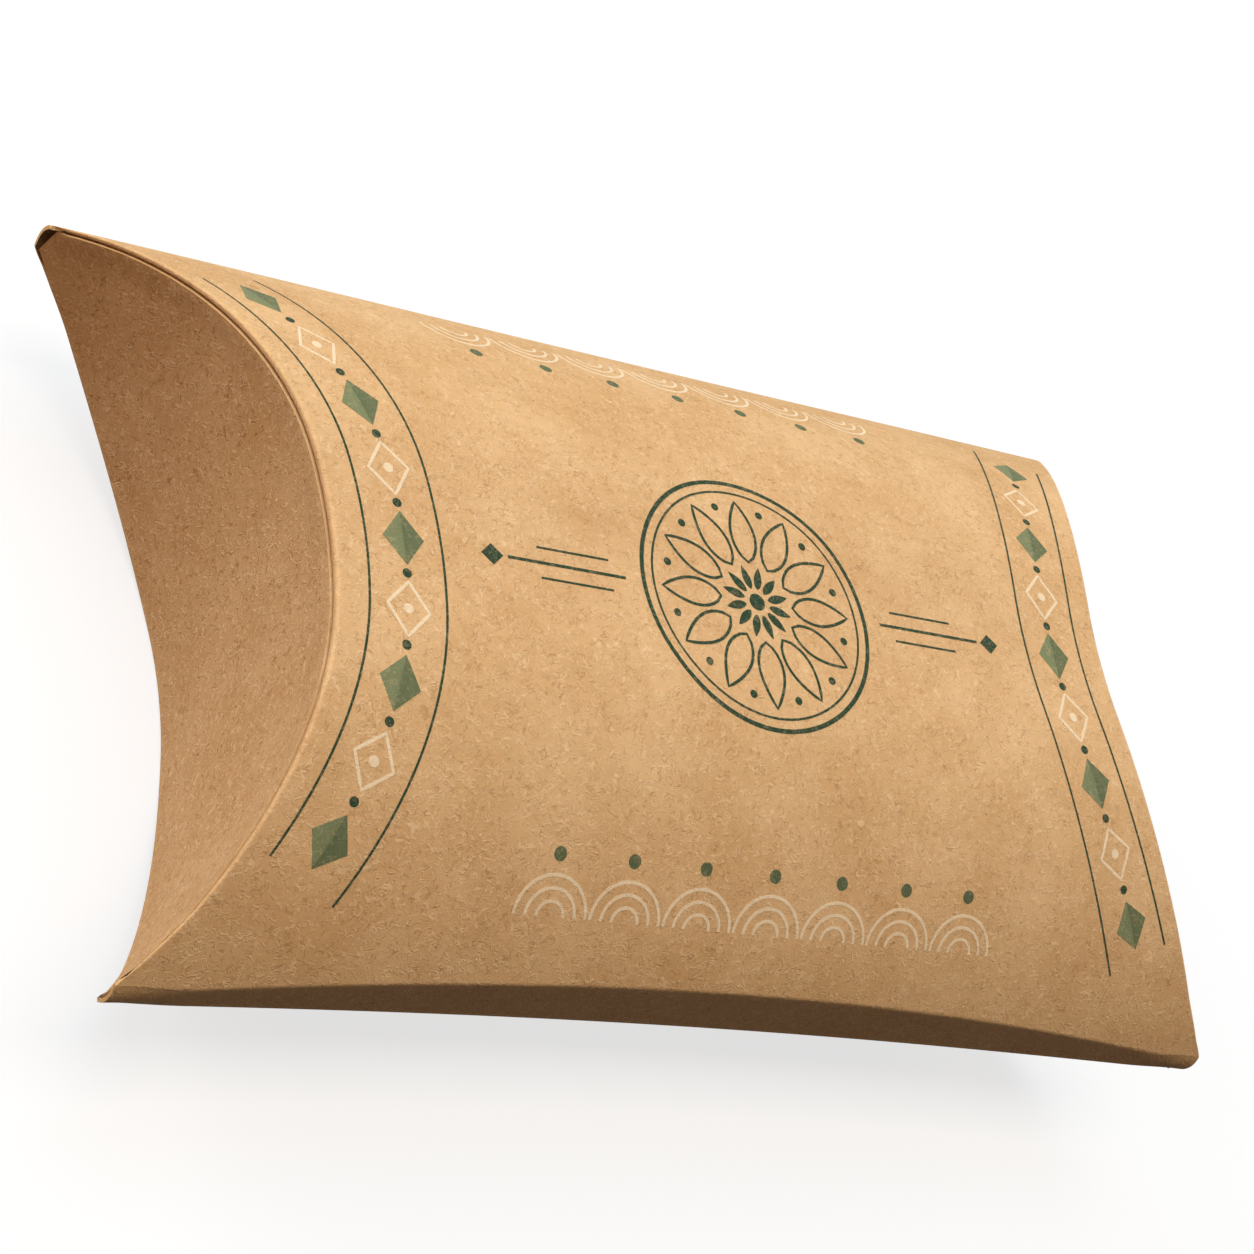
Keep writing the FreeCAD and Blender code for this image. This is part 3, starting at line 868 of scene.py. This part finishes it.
def petal_widths(half_width):
    """Half-widths of a petal along its middle line, widest a little before the middle."""
    return half_width * np.sin(math.pi * np.linspace(0, 1, BLADE_STEPS) ** PETAL_LEAN) ** PETAL_TAPER


def band_points(s, sign_x):
    """Middle line of the border along an end fold."""
    return np.stack([sign_x * (end_x(across_to_y(s)) - BAND_CLEAR), s], -1)


def make_band(sage, cream, dark, sign_x):
    """Border along an end fold: filled and outlined lozenges in turn, dots between them, and two rules."""
    for number in range(-BAND_SIDE_COUNT, BAND_SIDE_COUNT + 1):
        near = number * BAND_PITCH + np.array([-BAND_NEAR, 0, BAND_NEAR])
        before, centre, after = band_points(near, sign_x)
        reach = unit(after - before) * LOZENGE_LENGTH / 2
        spine = np.linspace(centre - reach, centre + reach, BLADE_STEPS)
        if number % 2:
            cream.outline(spine, lozenge_widths(LOZENGE_HALF_WIDTH), MIDDLE_LINE)
            cream.disc(centre, LOZENGE_DOT)
        else:
            sage.blade(spine, lozenge_widths(LOZENGE_HALF_WIDTH), FACET_TONES)
    for number in range(-BAND_SIDE_COUNT, BAND_SIDE_COUNT):
        dark.disc(band_points(np.array([(number + 0.5) * BAND_PITCH]), sign_x)[0], BAND_DOT)
    limit = (BAND_SIDE_COUNT + 0.5) * BAND_PITCH
    line = band_points(np.linspace(-limit, limit, BAND_STEPS), sign_x)
    for side in (-1, 1):
        dark.ribbon(line + aside(line) * side * BAND_HALF, FINE_LINE)


def make_scallops(sage, cream, sign_s):
    """Row of nested half rings along a long edge, with a dot over each."""
    turn = np.linspace(0, math.pi, SCALLOP_STEPS)
    half_ring = np.stack([np.cos(turn), -sign_s * np.sin(turn)], -1)
    for number in range(SCALLOP_COUNT):
        foot = np.array([(number - (SCALLOP_COUNT - 1) / 2) * SCALLOP_PITCH, sign_s * SCALLOP_BASE])
        for radius in SCALLOP_RADII:
            cream.ribbon(foot + half_ring * radius, MIDDLE_LINE)
        sage.disc(foot - np.array([0, sign_s * (SCALLOP_RADII[0] + SCALLOP_DOT_GAP)]), SCALLOP_DOT)


def ring(radius):
    """Points of a circle around the middle of the panel."""
    turn = np.linspace(0, 2 * math.pi, ROSETTE_STEPS, endpoint=False)
    return np.stack([np.cos(turn), np.sin(turn)], -1) * radius


def make_rosette(dark):
    """Round petal ornament in the middle of the panel, with ruled lines and a diamond on each side."""
    dark.ribbon(ring(ROSETTE_RADIUS), BOLD_LINE, closed=True)
    dark.ribbon(ring(ROSETTE_INNER_RADIUS), FINE_LINE, closed=True)
    dark.disc((0, 0), ROSETTE_HUB)
    for number in range(2 * PETAL_COUNT):
        angle = math.pi * number / PETAL_COUNT
        out = np.array([math.cos(angle), math.sin(angle)])
        if number % 2:
            dark.disc(out * ROSETTE_DOT_PLACE, ROSETTE_DOT)
            seed = np.linspace(out * SEED_START, out * SEED_END, BLADE_STEPS)
            dark.blade(seed, petal_widths(SEED_HALF_WIDTH), LINE_TONE)
        else:
            petal = np.linspace(out * PETAL_START, out * PETAL_END, BLADE_STEPS)
            dark.outline(petal, petal_widths(PETAL_HALF_WIDTH), MIDDLE_LINE)
    for sign_x in (-1, 1):
        dark.ribbon(rule(sign_x, RULE_START, RULE_END, 0), MIDDLE_LINE)
        for side in (-1, 1):
            dark.ribbon(rule(sign_x, SHORT_RULE_START, SHORT_RULE_END, side * SHORT_RULE_GAP), FINE_LINE)
        diamond = np.linspace((sign_x * DIAMOND_START, 0), (sign_x * DIAMOND_END, 0), BLADE_STEPS)
        dark.blade(diamond, lozenge_widths(DIAMOND_HALF_WIDTH), LINE_TONE)


def rule(sign_x, start, end, s):
    """Straight line along the panel."""
    return np.linspace((sign_x * start, s), (sign_x * end, s), RULE_STEPS)


sage, cream, dark = Ink(), Ink(), Ink()
for sign in (-1, 1):
    make_band(sage, cream, dark, sign)
    make_scallops(sage, cream, sign)
make_rosette(dark)
sage.place("print_sage", ink_material("ink_sage", *INK_SAGE))
cream.place("print_cream", ink_material("ink_cream", *INK_CREAM))
dark.place("print_dark", ink_material("ink_dark_green", *INK_DARK))

# Floor, light and camera
FLOOR_HALF = 3.0
FLOOR_COLOR = (0.275, 0.284, 0.315, 1)
FLOOR_BOUNCE = (0.045, 0.034, 0.025, 1)
FLOOR_ROUGHNESS = 0.9
FLOOR_GLOW = 0.72
GLOW_NEAR, GLOW_FAR = 0.2, 0.8
AMBIENT_COLOR = (1, 0.74, 0.5, 1)
AMBIENT_FRONT, AMBIENT_BACK = 0.01, 0.06
LAMPS = {
    "key": {"direction": (0, -0.04, 1), "size": (1.1, 0.45), "energy": 7.8, "color": (1, 0.89, 0.7)},
    "back": {"direction": (0, 0.5, 0.86), "size": (1.1, 0.6), "energy": 4.7, "color": (0.62, 0.86, 1)},
    "fill": {"direction": (-0.66, 0.72, 0.32), "size": (0.7, 0.7), "energy": 6.8, "color": (1, 0.97, 0.86)},
    "side": {"direction": (-0.9, -0.1, 0.42), "size": (0.7, 0.7), "energy": 2.5, "color": (1, 0.55, 0.3)},
    "far": {"direction": (0.95, 0.1, 0.25), "size": (0.8, 0.8), "energy": 2.5, "color": (1, 0.9, 0.76)},
}
LAMP_DISTANCE = 1.1
SENSOR_MM, LENS_MM = 36, 77.25
CAMERA_PLACE = (-0.1868, -0.1355, 0.2411)
CAMERA_RIGHT = (0.808, -0.1653, 0.5655)
CAMERA_UP = (-0.1366, 0.8812, 0.4527)
CAMERA_FORWARD = (0.5731, 0.4430, -0.6894)


def seen_rays(tree):
    """1 for rays that show the surroundings, directly or in a gloss, and 0 for rays that light the box."""
    path = tree.nodes.new("ShaderNodeLightPath")
    seen = math_node(tree, "MAXIMUM", path.outputs["Is Camera Ray"], path.outputs["Is Glossy Ray"])
    return math_node(tree, "MAXIMUM", seen, path.outputs["Is Transmission Ray"])


def either(tree, hidden, shown):
    """Mixes two shaders: the first lights the box, and the second is what the camera sees."""
    node = tree.nodes.new("ShaderNodeMixShader")
    tree.links.new(seen_rays(tree), node.inputs[0])
    tree.links.new(hidden.outputs[0], node.inputs[1])
    tree.links.new(shown.outputs[0], node.inputs[2])
    return node.outputs[0]


def floor_material():
    """White where the camera sees it, with the box's shadow. It reflects only a little light onto the box."""
    material = bpy.data.materials.new("floor")
    material.use_nodes = True
    tree = material.node_tree
    shader = tree.nodes["Principled BSDF"]
    shader.inputs["Base Color"].default_value = FLOOR_COLOR
    shader.inputs["Roughness"].default_value = FLOOR_ROUGHNESS
    glow = tree.nodes.new("ShaderNodeEmission")
    distance = tree.nodes.new("ShaderNodeVectorMath")
    distance.operation = "LENGTH"
    tree.links.new(tree.nodes.new("ShaderNodeTexCoord").outputs["Object"], distance.inputs[0])
    strength = span(tree, distance.outputs["Value"], GLOW_NEAR, GLOW_FAR, FLOOR_GLOW, 1.0)
    tree.links.new(strength, glow.inputs["Strength"])
    shown = tree.nodes.new("ShaderNodeAddShader")
    tree.links.new(shader.outputs[0], shown.inputs[0])
    tree.links.new(glow.outputs[0], shown.inputs[1])
    bounce = tree.nodes.new("ShaderNodeBsdfDiffuse")
    bounce.inputs["Color"].default_value = FLOOR_BOUNCE
    tree.links.new(either(tree, bounce, shown), tree.nodes["Material Output"].inputs["Surface"])
    return material


def make_floor():
    """Large pale floor that the box lies on."""
    mesh = bpy.data.meshes.new("floor")
    corners = [(x * FLOOR_HALF, y * FLOOR_HALF, 0) for x, y in ((-1, -1), (1, -1), (1, 1), (-1, 1))]
    mesh.from_pydata(corners, [], [(0, 1, 2, 3)])
    mesh.materials.append(floor_material())
    floor = bpy.data.objects.new("floor", mesh)
    bpy.context.scene.collection.objects.link(floor)


def make_world():
    """White backdrop. Its light on the box is warm and weak, weakest from the lower side's long edge."""
    world = bpy.data.worlds.new("studio")
    world.use_nodes = True
    tree = world.node_tree
    ambient = tree.nodes["Background"]
    ambient.inputs["Color"].default_value = AMBIENT_COLOR
    direction = tree.nodes.new("ShaderNodeSeparateXYZ")
    tree.links.new(tree.nodes.new("ShaderNodeTexCoord").outputs["Generated"], direction.inputs[0])
    strength = span(tree, direction.outputs["Y"], -1, 1, AMBIENT_FRONT, AMBIENT_BACK)
    tree.links.new(strength, ambient.inputs["Strength"])
    backdrop = tree.nodes.new("ShaderNodeBackground")
    backdrop.inputs["Color"].default_value = (1, 1, 1, 1)
    tree.links.new(either(tree, ambient, backdrop), tree.nodes["World Output"].inputs["Surface"])
    bpy.context.scene.world = world


def softbox(name, direction, size, energy, color):
    """Area lamp that shines on the box from a direction, with its size in metres and its energy in watts."""
    data = bpy.data.lights.new(name, "AREA")
    data.shape = "RECTANGLE"
    data.size, data.size_y = size
    data.energy = energy
    data.color = color
    lamp = bpy.data.objects.new(name, data)
    away = Vector(direction).normalized()
    lamp.location = away * LAMP_DISTANCE
    lamp.rotation_euler = away.to_track_quat("Z", "Y").to_euler()
    bpy.context.scene.collection.objects.link(lamp)


def make_camera():
    """Camera above the left end and the lower side, looking down at the front panel."""
    data = bpy.data.cameras.new("camera")
    data.sensor_width = SENSOR_MM
    data.lens = LENS_MM
    camera = bpy.data.objects.new("camera", data)
    axes = Matrix((CAMERA_RIGHT, CAMERA_UP, -Vector(CAMERA_FORWARD))).transposed()
    camera.matrix_world = Matrix.Translation(CAMERA_PLACE) @ axes.to_4x4()
    bpy.context.scene.collection.objects.link(camera)
    bpy.context.scene.camera = camera


make_floor()
make_world()
for name, lamp in LAMPS.items():
    softbox(name, **lamp)
make_camera()
bpy.context.scene.view_settings.view_transform = "Standard"
